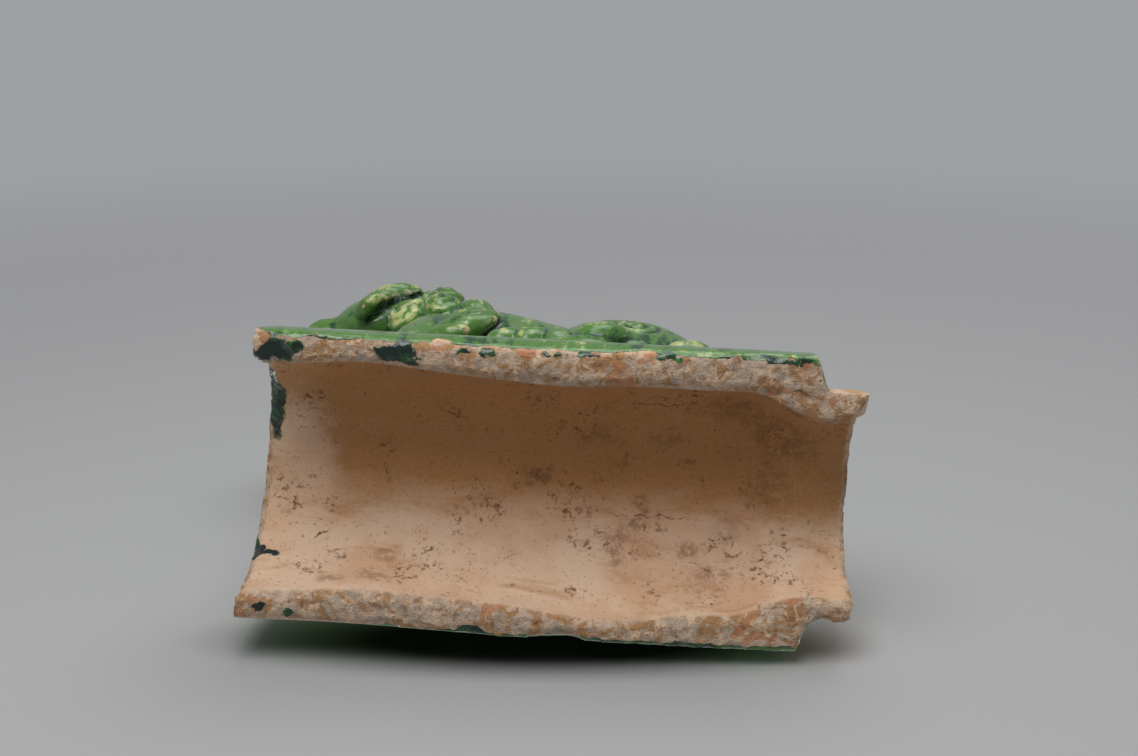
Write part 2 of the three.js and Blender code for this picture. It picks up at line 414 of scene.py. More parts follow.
def inner_arch(x, angle):
    narrowed = smoothstep(x, THROAT["start"], THROAT["end"])
    bevel = RIM_BEVEL["out"] * np.maximum(0, 1 - x / RIM_BEVEL["reach"]) ** 2
    side = np.where(angle < 0, -1, 1)
    swell = sum(np.where(side == s, by * bell(x, at, reach), 0)
                for s, swells in INNER_SWELLS.items() for at, reach, by in swells)
    half = INNER["half"] - THROAT["step_in"] * narrowed + bevel + swell * np.sin(angle) ** 4
    rise = INNER["rise"] - THROAT["step_down"] * narrowed + bevel
    return arch(half, rise, INNER["power"], angle)


class BarrelOperator(bpy.types.Operator):
    """Bends a slab of clay into the half-round tile."""

    bl_idname = "ornament.barrel"
    bl_label = "Barrel Tile"

    def execute(self, context):
        deselect()
        bpy.ops.mesh.primitive_cube_add(size=1.0)
        slab = context.object
        bpy.ops.object.mode_set(mode="EDIT")
        bpy.ops.mesh.subdivide(number_cuts=SLAB_CUTS)
        bpy.ops.object.mode_set(mode="OBJECT")
        unit = corners(slab) + 0.5
        x = unit[:, 0] * TILE_LENGTH
        angle = (unit[:, 1] - 0.5) * math.pi
        through = unit[:, 2]
        inner_y, inner_z = inner_arch(x, angle)
        outer_y, outer_z = outer_arch(x, angle)
        y = inner_y + (outer_y - inner_y) * through
        z = inner_z + (outer_z - inner_z) * through
        on_edge = (unit[:, 1] < 1e-4) | (unit[:, 1] > 1 - 1e-4)
        break_back = EDGE_BREAK * np.maximum(0, 1 - through * 4) + EDGE_BREAK / 2 * np.maximum(0, through * 4 - 3)
        z = np.where(on_edge, break_back, z)
        x = x - END_SKEW * y * np.maximum(0, 1 - x / BARREL_LENGTH)
        set_corners(slab, row(np.stack([x, y, z], axis=1)))
        slab.name = "barrel_blank"
        return {"FINISHED"}


# ---- The beast's soft masses ----

def leg_masses(side):
    y = side * FORELEG_Y
    foreleg = [
        (70, y, 160, 18, 22),
        (61, y + side, 126, 16, 17),
        (49, y - side, 96, 13, 14),
        (40, y - side * 2, 72, 14, 13),
    ]
    shank = [
        (150, side * 43, 78, 13, 17),
        (130, side * 42, 70, 12, 14),
        (108, side * 39, 64, 12, 11),
    ]
    return [
        drawn(foreleg),
        egg((31, y - side * 3, 68), (18, 15, 11), (-20 * side, 0, 0)),
        egg((HAUNCH["x"], side * HAUNCH["y"], HAUNCH["z"]), HAUNCH["radii"], (-8 * side, 22, 0), 48),
        drawn(shank),
        egg((104, side * 38, 62), (18, 14, 11), (-28 * side, 0, 0)),
    ]


def torso_masses():
    trunk = [
        (180, 0, 86, 30, 22),
        (162, 0, 108, 43, 34),
        (124, 0, 132, 46.5, 36),
        (92, 0, 154, 49, 37),
        (66, 0, 180, 45, 34),
        (54, 0, 206, 34, 26),
    ]
    belly = [
        (168, 0, 80, 28, 20),
        (120, 0, 88, 26, 26),
        (78, 0, 100, 26, 34),
        (46, 0, 104, 20, 30),
    ]
    return [drawn(trunk, 40, 48), drawn(belly, 32, 36), egg((54, 0, 148), (27, 40, 42), fine=40)]


def head_masses():
    x, _, z = HEAD
    paired = []
    for side in SIDES:
        paired += [
            egg((x - 25, side * 16, z - 11), (16, 16, 12)),
            egg((x - 1, side * 31, z - 9), (21, 13, 21), (0, 0, side * 12)),
            egg((x - 16, side * 15, z + 11), (14, 14, 9), (0, 20, 0)),
            drawn([(x + 4, side * 33, z + 3, 7, 5), (x + 14, side * 38, z + 10, 10, 5.5),
                   (x + 25, side * 41, z + 13, 8, 5), (x + 35, side * 41, z + 12, 2.5, 2.5)], level=(0.3, 0, 1)),
        ]
    return [
        egg((x, 0, z - 1), (32, 38, 26), fine=48),
        egg((x - 22, 0, z - 5), (23, 27, 15), fine=40),
        egg((x - 15, 0, z - 28), (18, 20, 9)),
        *paired,
    ]


def tail_masses():
    plume = [
        (184, 0, 86, 9, 10),
        (203, 0, 104, 13, 10),
        (205, 0, 134, 17, 11),
        (192, 0, 162, 13, 9),
        (177, 0, 172, 6, 6),
    ]
    tufts = [
        drawn([(194, side * 6, 96, 7, 8), (202, side * 18, 120, 10, 8), (192, side * 23, 146, 4, 5)])
        for side in SIDES
    ]
    return [drawn(plume), *tufts]


class MassesOperator(bpy.types.Operator):
    """Presses the beast's trunk, legs, mane, head and tail together out of rounded lumps."""

    bl_idname = "ornament.masses"
    bl_label = "Beast's Masses"

    def execute(self, context):
        sizes = context.scene.ornament_sizes
        lumps = torso_masses() + head_masses() + tail_masses()
        for side in SIDES:
            lumps += leg_masses(side)
        lumps.append(egg(MANE["centre"], MANE["radii"], fine=48))
        lumps.append(drawn([(*knot, 7, 9) for knot in SPINE]))
        beast = join("beast_masses", lumps)
        finish_modifier(beast, "REMESH", mode="VOXEL", voxel_size=sizes.form_grid)
        finish_modifier(beast, "SMOOTH", factor=0.5, iterations=sizes.softening)
        # The open mouth is cut out of the joined head.
        x, _, z = HEAD
        mouth = egg((x - 36, 0, z - 20), (26, 17, 5.5), (0, -6, 0))
        finish_modifier(beast, "BOOLEAN", operation="DIFFERENCE", solver="MANIFOLD", object=mouth)
        bpy.data.objects.remove(mouth)
        return {"FINISHED"}


# ---- Crisp details, laid on the masses ----

def snail_curl():
    """One snail-shell curl lying in the XY plane at the origin, its pole up Z, in millimetres."""
    deselect()
    bpy.ops.curve.primitive_nurbs_path_add(location=(0, 0, 0))
    rope = bpy.context.object
    bpy.ops.object.mode_set(mode="EDIT")
    bpy.ops.curve.select_all(action="SELECT")
    bpy.ops.curve.subdivide(number_cuts=15)
    bpy.ops.object.mode_set(mode="OBJECT")
    points = rope.data.splines[0].points
    for i, point in enumerate(points):
        s = i / (len(points) - 1)
        reach = CURL_RADIUS * (0.80 - 0.72 * s)
        around = -s * CURL_TURNS * 2 * math.pi
        point.co = (reach * math.cos(around), reach * math.sin(around), 1.0 + CURL_HEIGHT * s**0.8, 1)
        point.radius = 2.75 - 0.35 * s if s > 0.08 else 1.2 + 19 * s
    rope.data.bevel_depth = 1.0
    rope.data.bevel_resolution = 3
    rope.data.use_fill_caps = True
    select_only(rope)
    bpy.ops.object.convert(target="MESH")
    rope = bpy.context.object
    bpy.ops.mesh.primitive_uv_sphere_add(segments=24, ring_count=14, radius=1.0)
    dome = bpy.context.object
    dome.scale = (CURL_RADIUS * 0.86, CURL_RADIUS * 0.86, CURL_HEIGHT)
    bpy.ops.object.transform_apply(scale=True)
    return join("curl_pattern", [rope, dome])


def copy_of(pattern, place):
    """A copy of a pattern piece with its own mesh, moved to its place."""
    copy = pattern.copy()
    copy.data = pattern.data.copy()
    bpy.context.scene.collection.objects.link(copy)
    copy.data.transform(place)
    return copy


def lie_on(point, normal, spin, flip):
    """The place of a pattern whose pole stands along a normal at a tile point."""
    turn = Vector((0, 0, 1)).rotation_difference(Vector(normal)).to_matrix().to_4x4()
    size = Matrix.Diagonal((-MM if flip else MM, MM, MM, 1))
    return Matrix.Translation(row(point)) @ turn @ Matrix.Rotation(spin, 4, "Z") @ size


class ManeOperator(bpy.types.Operator):
    """Lays rows of snail-shell curls over the mane."""

    bl_idname = "ornament.mane"
    bl_label = "Mane"

    def execute(self, context):
        pattern = snail_curl()
        radii = np.array(MANE["radii"], float)
        laid = []
        for number, (tilt_degrees, count) in enumerate(CURL_ROWS):
            tilt = math.radians(tilt_degrees)
            for i in range(count):
                around = (i + number % 2 / 2) / count * 2 * math.pi
                toward = np.array([
                    -math.cos(tilt), math.sin(tilt) * math.sin(around), math.sin(tilt) * math.cos(around)])
                normal = toward / radii
                point = np.array(MANE["centre"]) + radii * toward
                mirrored = math.sin(around) > 0
                spin = around * (1 if mirrored else -1) + number
                laid.append(copy_of(pattern, lie_on(point, normal, spin, mirrored)))
        bpy.data.objects.remove(pattern)
        join("mane_curls", laid)
        return {"FINISHED"}


def eye(side):
    """A bulging eye with a ring of lid round it."""
    x, _, z = HEAD
    middle = np.array([x - 28, side * 15.5, z + 5.5])
    facing = Vector((-0.86, side * 0.42, 0.12))
    deselect()
    bpy.ops.mesh.primitive_torus_add(
        major_segments=32, minor_segments=12, major_radius=7.4 * MM, minor_radius=1.9 * MM,
        location=row(middle + np.array(facing) * 1.5), rotation=facing.to_track_quat("Z", "Y").to_euler())
    lid = bpy.context.object
    lid.scale = (0.86, 1.0, 1.0)
    bpy.ops.object.transform_apply(location=True, rotation=True, scale=True)
    return [lid, egg(middle, (7.4, 7.4, 7.4))]


class FaceOperator(bpy.types.Operator):
    """Models brows, eyes, nose, lips, teeth, tongue, beard and the locks beside the face."""

    bl_idname = "ornament.face"
    bl_label = "Face"

    def execute(self, context):
        x, _, z = HEAD
        parts = [
            egg((x - 40, 0, z - 2), (7, 9, 6.5)),
            drawn([(x - 37, 0, z + 3, 7, 5), (x - 29, 0, z + 9, 6, 5), (x - 18, 0, z + 15, 6, 4)]),
            egg((x - 24, 0, z - 23.5), (15, 9.5, 3.2), (0, -8, 0)),
        ]
        for n in (-1, 0, 1):
            parts.append(lock((x - 17, n * 6, z + 18), (x + 12, n * 12, z + 24), 4.6, 0, (-2, 0, 3)))
        for side in SIDES:
            parts += eye(side)
            parts += [
                egg((x - 40, side * 8, z - 4.5), (6.5, 5.5, 5)),
                egg((x - 31, side * 17, z - 9), (9, 9, 7)),
                lock((x - 31, side * 4, z + 12), (x - 2, side * 31, z + 17), 4.8, 0, (-5, side * 4, 5)),
                lock((x - 26, side * 20, z + 14), (x + 4, side * 33, z + 8), 3.4, 0, (-2, side * 4, 3)),
                lock((x - 36, side * 17, z - 15), (x - 37, side * 17, z - 27), 3.6),
                lock((x - 29, side * 14, z - 25), (x - 31, side * 14, z - 15), 3.0),
            ]
            for n in range(4):
                drop = n * 9.5
                parts.append(lock(
                    (x - 8, side * 35, z - 2 - drop), (x + 22 - n * 5, side * 46, z + 5 - drop * 1.2),
                    6.0 - n * 0.5, 3, (0, side * 5, -5)))
        for n in range(-2, 3):
            parts.append(egg((x - 41 + abs(n) * 1.8, n * 5.4, z - 16.5), (2.4, 2.6, 3.8)))
            parts.append(egg((x - 32 + abs(n) * 1.6, n * 4.8, z - 23.5), (2.2, 2.3, 3.0)))
            parts.append(lock(
                (x - 22 + abs(n) * 3, n * 8, z - 31), (x - 14 + abs(n) * 6, n * 10.5, z - 53 + abs(n) * 4),
                5.6, 0, (-6, 0, 0)))
        lip = [(x - 14, side * 27, z - 22, 3, 3) for side in SIDES]
        parts.append(drawn([
            lip[0], (x - 30, -22, z - 13, 3.4, 3.0), (x - 40, -9, z - 11.5, 3.2, 3),
            (x - 40, 9, z - 11.5, 3.2, 3), (x - 30, 22, z - 13, 3.4, 3.0), lip[1]], 16, 60, (0, 0, 1)))
        parts.append(drawn([
            lip[0], (x - 25, -19, z - 26, 3.0, 3), (x - 33, 0, z - 26.5, 3.2, 3),
            (x - 25, 19, z - 26, 3.0, 3), lip[1]], 16, 60, (0, 0, 1)))
        join("face_details", parts)
        return {"FINISHED"}


def toes(middle, spread, drop, side):
    """Three toes in a row at the front of a paw, each with its claw."""
    made = []
    for out in (-spread, 0, spread):
        x, y, z = middle[0], middle[1] + side * out, middle[2] - drop * out
        made.append(egg((x, y, z), (8.4, 5.4, 7), (0, 12, 0)))
        made.append(lock((x - 4, y, z + 1), (x - 4 - CLAW_LENGTH, y, z - 6), 2.4, 0, (-1.5, 0, 1)))
    return made


class LimbsOperator(bpy.types.Operator):
    """Models toes and claws, the locks on legs and flanks, and the crest of locks along the spine."""

    bl_idname = "ornament.limbs"
    bl_label = "Paws, Locks and Tail"

    def execute(self, context):
        parts = []
        for side in SIDES:
            parts += toes((16, side * (FORELEG_Y - 3), 66), 10, 0.35, side)
            parts += toes((89, side * 38, 60), 9, 0.45, side)
            parts += [lock(root, tip, width, lift, bend) for root, tip, width, lift, bend in (
                ((64, side * 37, 112), (84, side * 49, 104), 7.5, -2, (0, side * 2, -4)),
                ((66, side * 38, 119), (95, side * 51, 118), 8.5, 3, (0, side * 2, -4)),
                ((68, side * 39, 127), (95, side * 50, 136), 8.5, 5, (2, side * 2, -4)),
                ((69, side * 41, 136), (87, side * 48, 153), 7.5, 6, (4, side * 2, -3)),
                ((92, side * 42, 84), (107, side * 50, 92), 7.0, 3, (2, side * 2, -3)),
                ((104, side * 43, 83), (120, side * 50.5, 92), 7.2, 3, (2, side * 2, -3)),
                ((117, side * 44, 82), (131, side * 50, 92), 6.6, 3, (2, side * 2, -3)),
                ((130, side * 46, 81), (157, side * 52, 88), 8.5, 4, (2, side * 3, -4)),
                ((52, side * 29, 86), (64, side * 35, 74), 5.5, 0, (3, side * 2, 2)),
                ((54, side * 30, 96), (68, side * 36, 86), 5.0, 0, (3, side * 2, 2)),
                ((170, side * 44, 76), (190, side * 42, 86), 6.5, 3, (5, side * 4, -3)),
                ((173, side * 43, 88), (193, side * 37, 104), 6.5, 4, (6, side * 4, -2)),
                ((174, side * 42, 102), (190, side * 33, 124), 5.8, 4, (7, side * 3, 0)),
            )]
        for n in range(9):
            x, _, z = (float(v) for v in spline(SPINE, np.array([n / 8]))[0])
            parts.append(lock((x - 5, 0, z + 2), (x + 12, 0, z + 3), 6.2, 1, (0, 0, 5), 5.4))
        join("limb_details", parts)
        return {"FINISHED"}


# ---- Joining, carving and wear ----

# Flat flakes broken off the tile: centre, reach, how deep, and the way the broken face looks.
FLAKES = [
    ((76, -59.5, 0), 9, 1.6, (0, -0.7, -0.7)),
    ((155, -60.0, 0), 12, 1.8, (0.1, -0.8, -0.6)),
    ((85, -49.0, 0), 7, 1.4, (0, 0.6, -0.8)),
    ((209, -60.5, 0), 7, 1.2, (0, -0.7, -0.7)),
    ((2, -57.0, 0), 6, 1.5, (-0.6, -0.2, -0.8)),
    ((251, -38.0, 2), 12, 4.5, (0.75, 0.4, -0.5)),
    ((244, -31.0, 0), 7, 2.6, (0.3, 0.75, -0.6)),
    ((59, 57.5, 0), 8, 1.6, (0, 0.7, -0.7)),
    ((130, 58.5, 0), 13, 2.0, (0.1, 0.8, -0.6)),
    ((143, 60.0, 0), 6, 1.4, (0, 0.7, -0.7)),
    ((236, 52.0, 0), 9, 3.5, (0.6, 0.5, -0.6)),
    ((252, 45.0, 0), 8, 2.5, (0.8, 0.4, -0.5)),
    ((12, 48.0, 0), 9, 2.4, (0, -0.6, -0.8)),
    ((190, 45.5, 22), 12, 1.2, (0, -1.0, -0.2)),
]

# Rows of small chips along the long edges: side, distance from the ridge line, seed, and how far across
# the chips face. Then how many a row has, and where along the tile it lies.
CHIP_ROWS = [(-1, 60.5, 3, 0.75), (1, 60.5, 8, 0.75), (-1, 48.5, 5, -0.6), (1, 48.5, 11, -0.6)]
CHIPS_IN_ROW = 22
CHIP_SPACING = 11
CHIPS_START = 6
CHIPS_END = 232

# Shallow round dents: centre, reach and depth. The last three rows are the pupils, nostrils and ears.
DENTS = [
    ((201, 24, 46.7), 9.5, 0.9),
    ((111, 45.5, 22.5), 1.6, 1.3),
    ((208.8, -53, 0), 1.3, 1.2),
    ((150, -6, 52), 18, 0.7),
    ((60, 20, 50), 16, 0.6),
    *[((HEAD[0] - 34.6, side * 18.6, HEAD[2] + 6.4), 2.6, 1.5) for side in SIDES],
    *[((HEAD[0] - 46, side * 6.5, HEAD[2] - 5), 2.4, 2.0) for side in SIDES],
    *[((HEAD[0] + 17, side * 44, HEAD[2] + 11), 9, 2.6) for side in SIDES],
]


# Past this depth through the wall the clay is the beast's, and above this height nothing is the tile's.
BEAST_STARTS = 1.12
TILE_TOP = 67


def wall_depth(points):
    """How far through the barrel's wall a point lies: 0 on the hollow's side, 1 on the glazed outside."""
    x, y, z = points.T
    narrowed = smoothstep(x, THROAT["start"], THROAT["end"])
    stepped = smoothstep(x, SHOULDER["start"], SHOULDER["end"])

    def level(half, rise, power):
        return ((np.abs(y) / half) ** power + (np.maximum(z, 0) / rise) ** power) ** (1 / power)

    inner = level(INNER["half"] - THROAT["step_in"] * narrowed, INNER["rise"] - THROAT["step_down"] * narrowed,
                  INNER["power"])
    outer = level(OUTER["half"] - SHOULDER["step_in"] * stepped, OUTER["rise"] - SHOULDER["step_down"] * stepped,
                  OUTER["power"])
    return (inner - 1) / np.maximum(inner - outer, 1e-3)


def square_x(points):
    """x measured from the skewed open end."""
    return points[:, 0] + END_SKEW * points[:, 1] * np.maximum(0, 1 - points[:, 0] / BARREL_LENGTH)


def broken_clay(points, wall):
    """1 on the broken long edges and the two ends, 0 on the finished faces."""
    x, z = points[:, 0], points[:, 2]
    on_band = smoothstep(4.5 - z, 0, 3)
    on_end = smoothstep(4.0 - square_x(points), 0, 3) * (wall > -0.2) * (wall < 1.3) * (z < 68)
    on_tip = smoothstep(x, TILE_LENGTH - 3.5, TILE_LENGTH - 1)
    return np.maximum(np.maximum(on_band, on_end), on_tip)


def break_flakes(points):
    for centre, reach, deep, facing in FLAKES + edge_chips():
        facing = np.array(facing, float) / np.linalg.norm(facing)
        off = points - np.array(centre, float)
        near = np.maximum(0, 1 - np.linalg.norm(off, axis=1) / reach) ** 0.5
        proud = off @ facing + deep + 0.5 * noise(points, 2.6, 31)
        points -= facing * (np.clip(proud, 0, deep * 1.6) * near)[:, None]
    return points


def press_dents(points, outward):
    for centre, reach, deep in DENTS:
        away = np.linalg.norm(points - np.array(centre, float), axis=1)
        points -= outward * (deep * (1 - smoothstep(away, reach * 0.35, reach)))[:, None]
    return points


def spiral_grooves(points, outward):
    """How deep the spirals on the joints are cut at each point."""
    x, y, z = points.T
    depth = np.zeros(len(points))
    for (at_x, at_z), reach, winding in JOINT_SPIRALS:
        away = np.hypot(x - at_x, z - at_z)
        angle = winding * np.arctan2(z - at_z, x - at_x)
        wave = 0.5 + 0.5 * np.cos(2 * math.pi * away / SPIRAL_PITCH - angle)
        depth += SPIRAL_DEPTH * wave**2 * smoothstep(reach - away, 0, 5)
    return depth * smoothstep(np.abs(y), 34, 40) * smoothstep(np.abs(outward[:, 1]), 0.2, 0.5)


def hair_grooves(points):
    """How deep the combed strands are cut: on the mane between its curls, and on the tail."""
    x, y, z = points.T
    middle, radii = np.array(MANE["centre"], float), np.array(MANE["radii"], float)
    skin = np.linalg.norm((points - middle) / radii, axis=1)
    on_mane = smoothstep(1.05 - skin, 0, 0.03) * smoothstep(skin, 0.9, 0.95) * smoothstep(x, 34, 44)
    around = np.arctan2(y, z - middle[2])
    depth = on_mane * 0.8 * (0.5 + 0.5 * np.cos(around * 60 + 2 * noise(points, 16, 6)))
    on_tail = smoothstep(x, 181, 190) * smoothstep(z, 92, 102)
    return depth + on_tail * 1.0 * (0.5 + 0.5 * np.cos(y * 2 * math.pi / 4.6 + noise(points, 20, 5)))


def edge_chips():
    """Small chips all along the four edges of the broken clay bands."""
    chips = []
    for line, (side, at_y, seed, lean) in enumerate(CHIP_ROWS):
        for n in range(CHIPS_IN_ROW):
            chance = lattice_value(np.array([[n, line, seed + k] for k in range(3)]), seed)
            at_x = CHIPS_START + n * CHIP_SPACING + 8 * (chance[0] - 0.5)
            if at_x < CHIPS_END:
                facing = (0, side * lean, -0.66)
                chips.append(((at_x, side * at_y, 0), 3.0 + 5.5 * chance[1], 0.5 + 1.2 * chance[2], facing))
    return chips


def carve(obj, sizes):
    """Works the surface: broken clay edges, smeared hollow, carved spirals and strands, flakes and dents."""
    points = tile(corners(obj))
    outward = normals(obj)
    wall = wall_depth(points)
    x, _, z = points.T
    on_tile = (wall < BEAST_STARTS) & (z < TILE_TOP)
    broken = broken_clay(points, wall) * on_tile
    on_tenon = smoothstep(x, SHOULDER["start"] - 1, SHOULDER["end"]) * (z < 60) * smoothstep(wall, 0.1, 0.4)
    bare = np.maximum(broken, 0.7 * on_tenon)
    ruin = sizes.edge_ruin / MM
    crumbled = 0.6 + 0.5 * rough(points, 9, 3) + 0.45 * rough(points, 3.4, 9) + 0.35 * noise(points, 1.9, 13)
    lost = bare * ruin * crumbled
    smeared = points * np.array([0.12, 1.0, 1.0])
    hollow = smoothstep(0.5 - wall, 0.1, 0.5) * (1 - bare)
    lost = lost + hollow * (0.28 * rough(smeared, 5.5, 17) + 0.16 * rough(points, 14, 21))
    glazed = (1 - bare) * (1 - hollow)
    lost = lost + glazed * 0.16 * noise(points, 7, 41)
    on_beast = wall > BEAST_STARTS
    lost = lost + on_beast * (spiral_grooves(points, outward) + hair_grooves(points))
    lost = lost + on_beast * (0.22 * rough(points, 5, 51) + 0.12)
    points = points - outward * lost[:, None]
    points = break_flakes(points)
    points = press_dents(points, outward)
    set_corners(obj, row(points))
    keep_value(obj, "broken", np.maximum(broken, 0.35 * on_tenon))
    hold_in_box(obj)


def hold_in_box(obj):
    """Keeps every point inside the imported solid's box."""
    set_corners(obj, np.clip(corners(obj), CAD_BOX[0], CAD_BOX[1]))


def keep_value(obj, name, values):
    """Stores one number for each vertex, for the finish to read."""
    attribute = obj.data.attributes.new(name, "FLOAT", "POINT")
    attribute.data.foreach_set("value", np.asarray(values, np.float32))


def measure_surface(obj):
    """Keeps how raised each place is, at two scales, and how far it lies inside the glazed area."""
    points = tile(corners(obj))
    outward = normals(obj)
    pairs = edges(obj)
    fine = relax(points, pairs, 10)
    broad = relax(fine, pairs, 70)
    keep_value(obj, "raised", np.einsum("ij,ij->i", points - fine, outward))
    keep_value(obj, "proud", np.einsum("ij,ij->i", points - broad, outward))
    wall = wall_depth(points)
    x, y, z = points.T
    radial = np.stack([np.zeros_like(y), y / 62.0, z / 66.0], axis=1)
    looks_out = np.einsum("ij,ij->i", outward, radial) > 0.12
    outside = np.where((wall > 0.85) & looks_out | (wall > 1.2), 7.0, -(1.0 - np.clip(wall, 0, 1)) * 15.0 - 0.3)
    outside = np.minimum(outside, z * 1.2 + 0.2)
    on_beast = wall > 1.06
    outside = np.minimum(outside, np.where(on_beast, 7.0, square_x(points) - 0.6))
    reach = np.where(on_beast | (z > 66), 7.0, SHOULDER["end"] - 0.6 - x)
    keep_value(obj, "glazed", np.clip(np.minimum(outside, reach), -12, 7))


class FiringOperator(bpy.types.Operator):
    """Joins all the clay into one body and gives it its worn, broken and smeared surface."""

    bl_idname = "ornament.firing"
    bl_label = "Join and Wear"

    def execute(self, context):
        sizes = context.scene.ornament_sizes
        names = ("barrel_blank", "beast_masses", "mane_curls", "face_details", "limb_details")
        whole = join("ornament_tile_glazed", [bpy.data.objects[name] for name in names])
        finish_modifier(whole, "REMESH", mode="VOXEL", voxel_size=sizes.detail_grid)
        set_corners(whole, relax(corners(whole), edges(whole), 1))
        carve(whole, sizes)
        measure_surface(whole)
        count = sum(len(face.vertices) - 2 for face in whole.data.polygons)
        if count > sizes.face_budget:
            finish_modifier(whole, "DECIMATE", ratio=sizes.face_budget / count)
            hold_in_box(whole)
        whole.data.polygons.foreach_set("use_smooth", [True] * len(whole.data.polygons))
        whole.data.update()
        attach(whole, "root")
        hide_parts(CAD_NODE)
        return {"FINISHED"}


# ---- Finish ----

def node(tree, kind, values=None, **settings):
    """Adds a shader node, with its settings, and sets or links its inputs."""
    made = tree.nodes.new("ShaderNode" + kind)
    for key, value in settings.items():
        setattr(made, key, value)
    for key, value in (values or {}).items():
        if isinstance(value, bpy.types.NodeSocket):
            tree.links.new(value, made.inputs[key])
        else:
            made.inputs[key].default_value = value
    return made


def maths(tree, operation, a, b):
    return node(tree, "Math", {0: a, 1: b}, operation=operation).outputs[0]


def between(tree, value, low, high):
    """0 below low and 1 above high, or the other way round where low is the greater."""
    return node(tree, "MapRange", {0: value, 1: low, 2: high}, interpolation_type="SMOOTHSTEP").outputs[0]


def mixed(tree, factor, a, b):
    return node(tree, "Mix", {0: factor, 6: a, 7: b}, data_type="RGBA").outputs[2]


def besides(tree, mask):
    """1 where a mask is 0, and 0 where it is 1."""
    return maths(tree, "SUBTRACT", 1.0, mask)


def speckle(tree, coords, size, detail, roughness, distortion=0.0):
    """Noise from 0 to 1 with lumps of about this size in metres."""
    values = {"Vector": coords, "Scale": 0.5 / size, "Detail": detail, "Roughness": roughness,
              "Distortion": distortion}
    return node(tree, "TexNoise", values).outputs[0]


def stretched(tree, coords, scale):
    return node(tree, "VectorMath", {0: coords, 1: scale}, operation="MULTIPLY").outputs[0]


def blot(tree, coords, centre, radii, soft=0.35, turns=(0, 0, 0)):
    """1 inside an egg-shaped place on the piece, fading at its edge. Millimetres; turns are radians."""
    settings = {"Vector": coords, "Location": row(centre), "Rotation": turns, "Scale": [r * MM for r in radii]}
    unit = node(tree, "Mapping", settings, vector_type="TEXTURE").outputs[0]
    away = node(tree, "VectorMath", {0: unit}, operation="LENGTH").outputs["Value"]
    return between(tree, away, 1 + soft, 1 - soft)


def streak(tree, coords, start, end, width, soft=0.4):
    """1 along a thin line between two places on the piece. Millimetres."""
    start, end = Vector(start), Vector(end)
    turns = (end - start).to_track_quat("X", "Z").to_euler()
    length = (end - start).length / 2
    return blot(tree, coords, (start + end) / 2, (length, width, max(width * 3, 2.0)), soft, turns)


def highest(tree, masks):
    top = masks[0]
    for mask in masks[1:]:
        top = maths(tree, "MAXIMUM", top, mask)
    return top


def colour(value):
    return (*value, 1.0)


def group(name, inputs, outputs):
    """A new shader node group with named sockets, and its input and output nodes."""
    tree = bpy.data.node_groups.new(name, "ShaderNodeTree")
    for socket, kind in inputs.items():
        tree.interface.new_socket(socket, in_out="INPUT", socket_type="NodeSocket" + kind)
    for socket, kind in outputs.items():
        tree.interface.new_socket(socket, in_out="OUTPUT", socket_type="NodeSocket" + kind)
    return tree, tree.nodes.new("NodeGroupInput").outputs, tree.nodes.new("NodeGroupOutput").inputs


def times(tree, *values):
    """All the values multiplied together."""
    product = values[0]
    for value in values[1:]:
        product = maths(tree, "MULTIPLY", product, value)
    return product


def summed(tree, start, *parts):
    """A start value plus weighted parts, each a (value, middle, weight)."""
    total = start
    for value, middle, weight in parts:
        total = maths(tree, "ADD", total, maths(tree, "MULTIPLY", maths(tree, "SUBTRACT", value, middle), weight))
    return total


def moved(tree, coords, by):
    return node(tree, "VectorMath", {0: coords, 1: by}, operation="ADD").outputs[0]


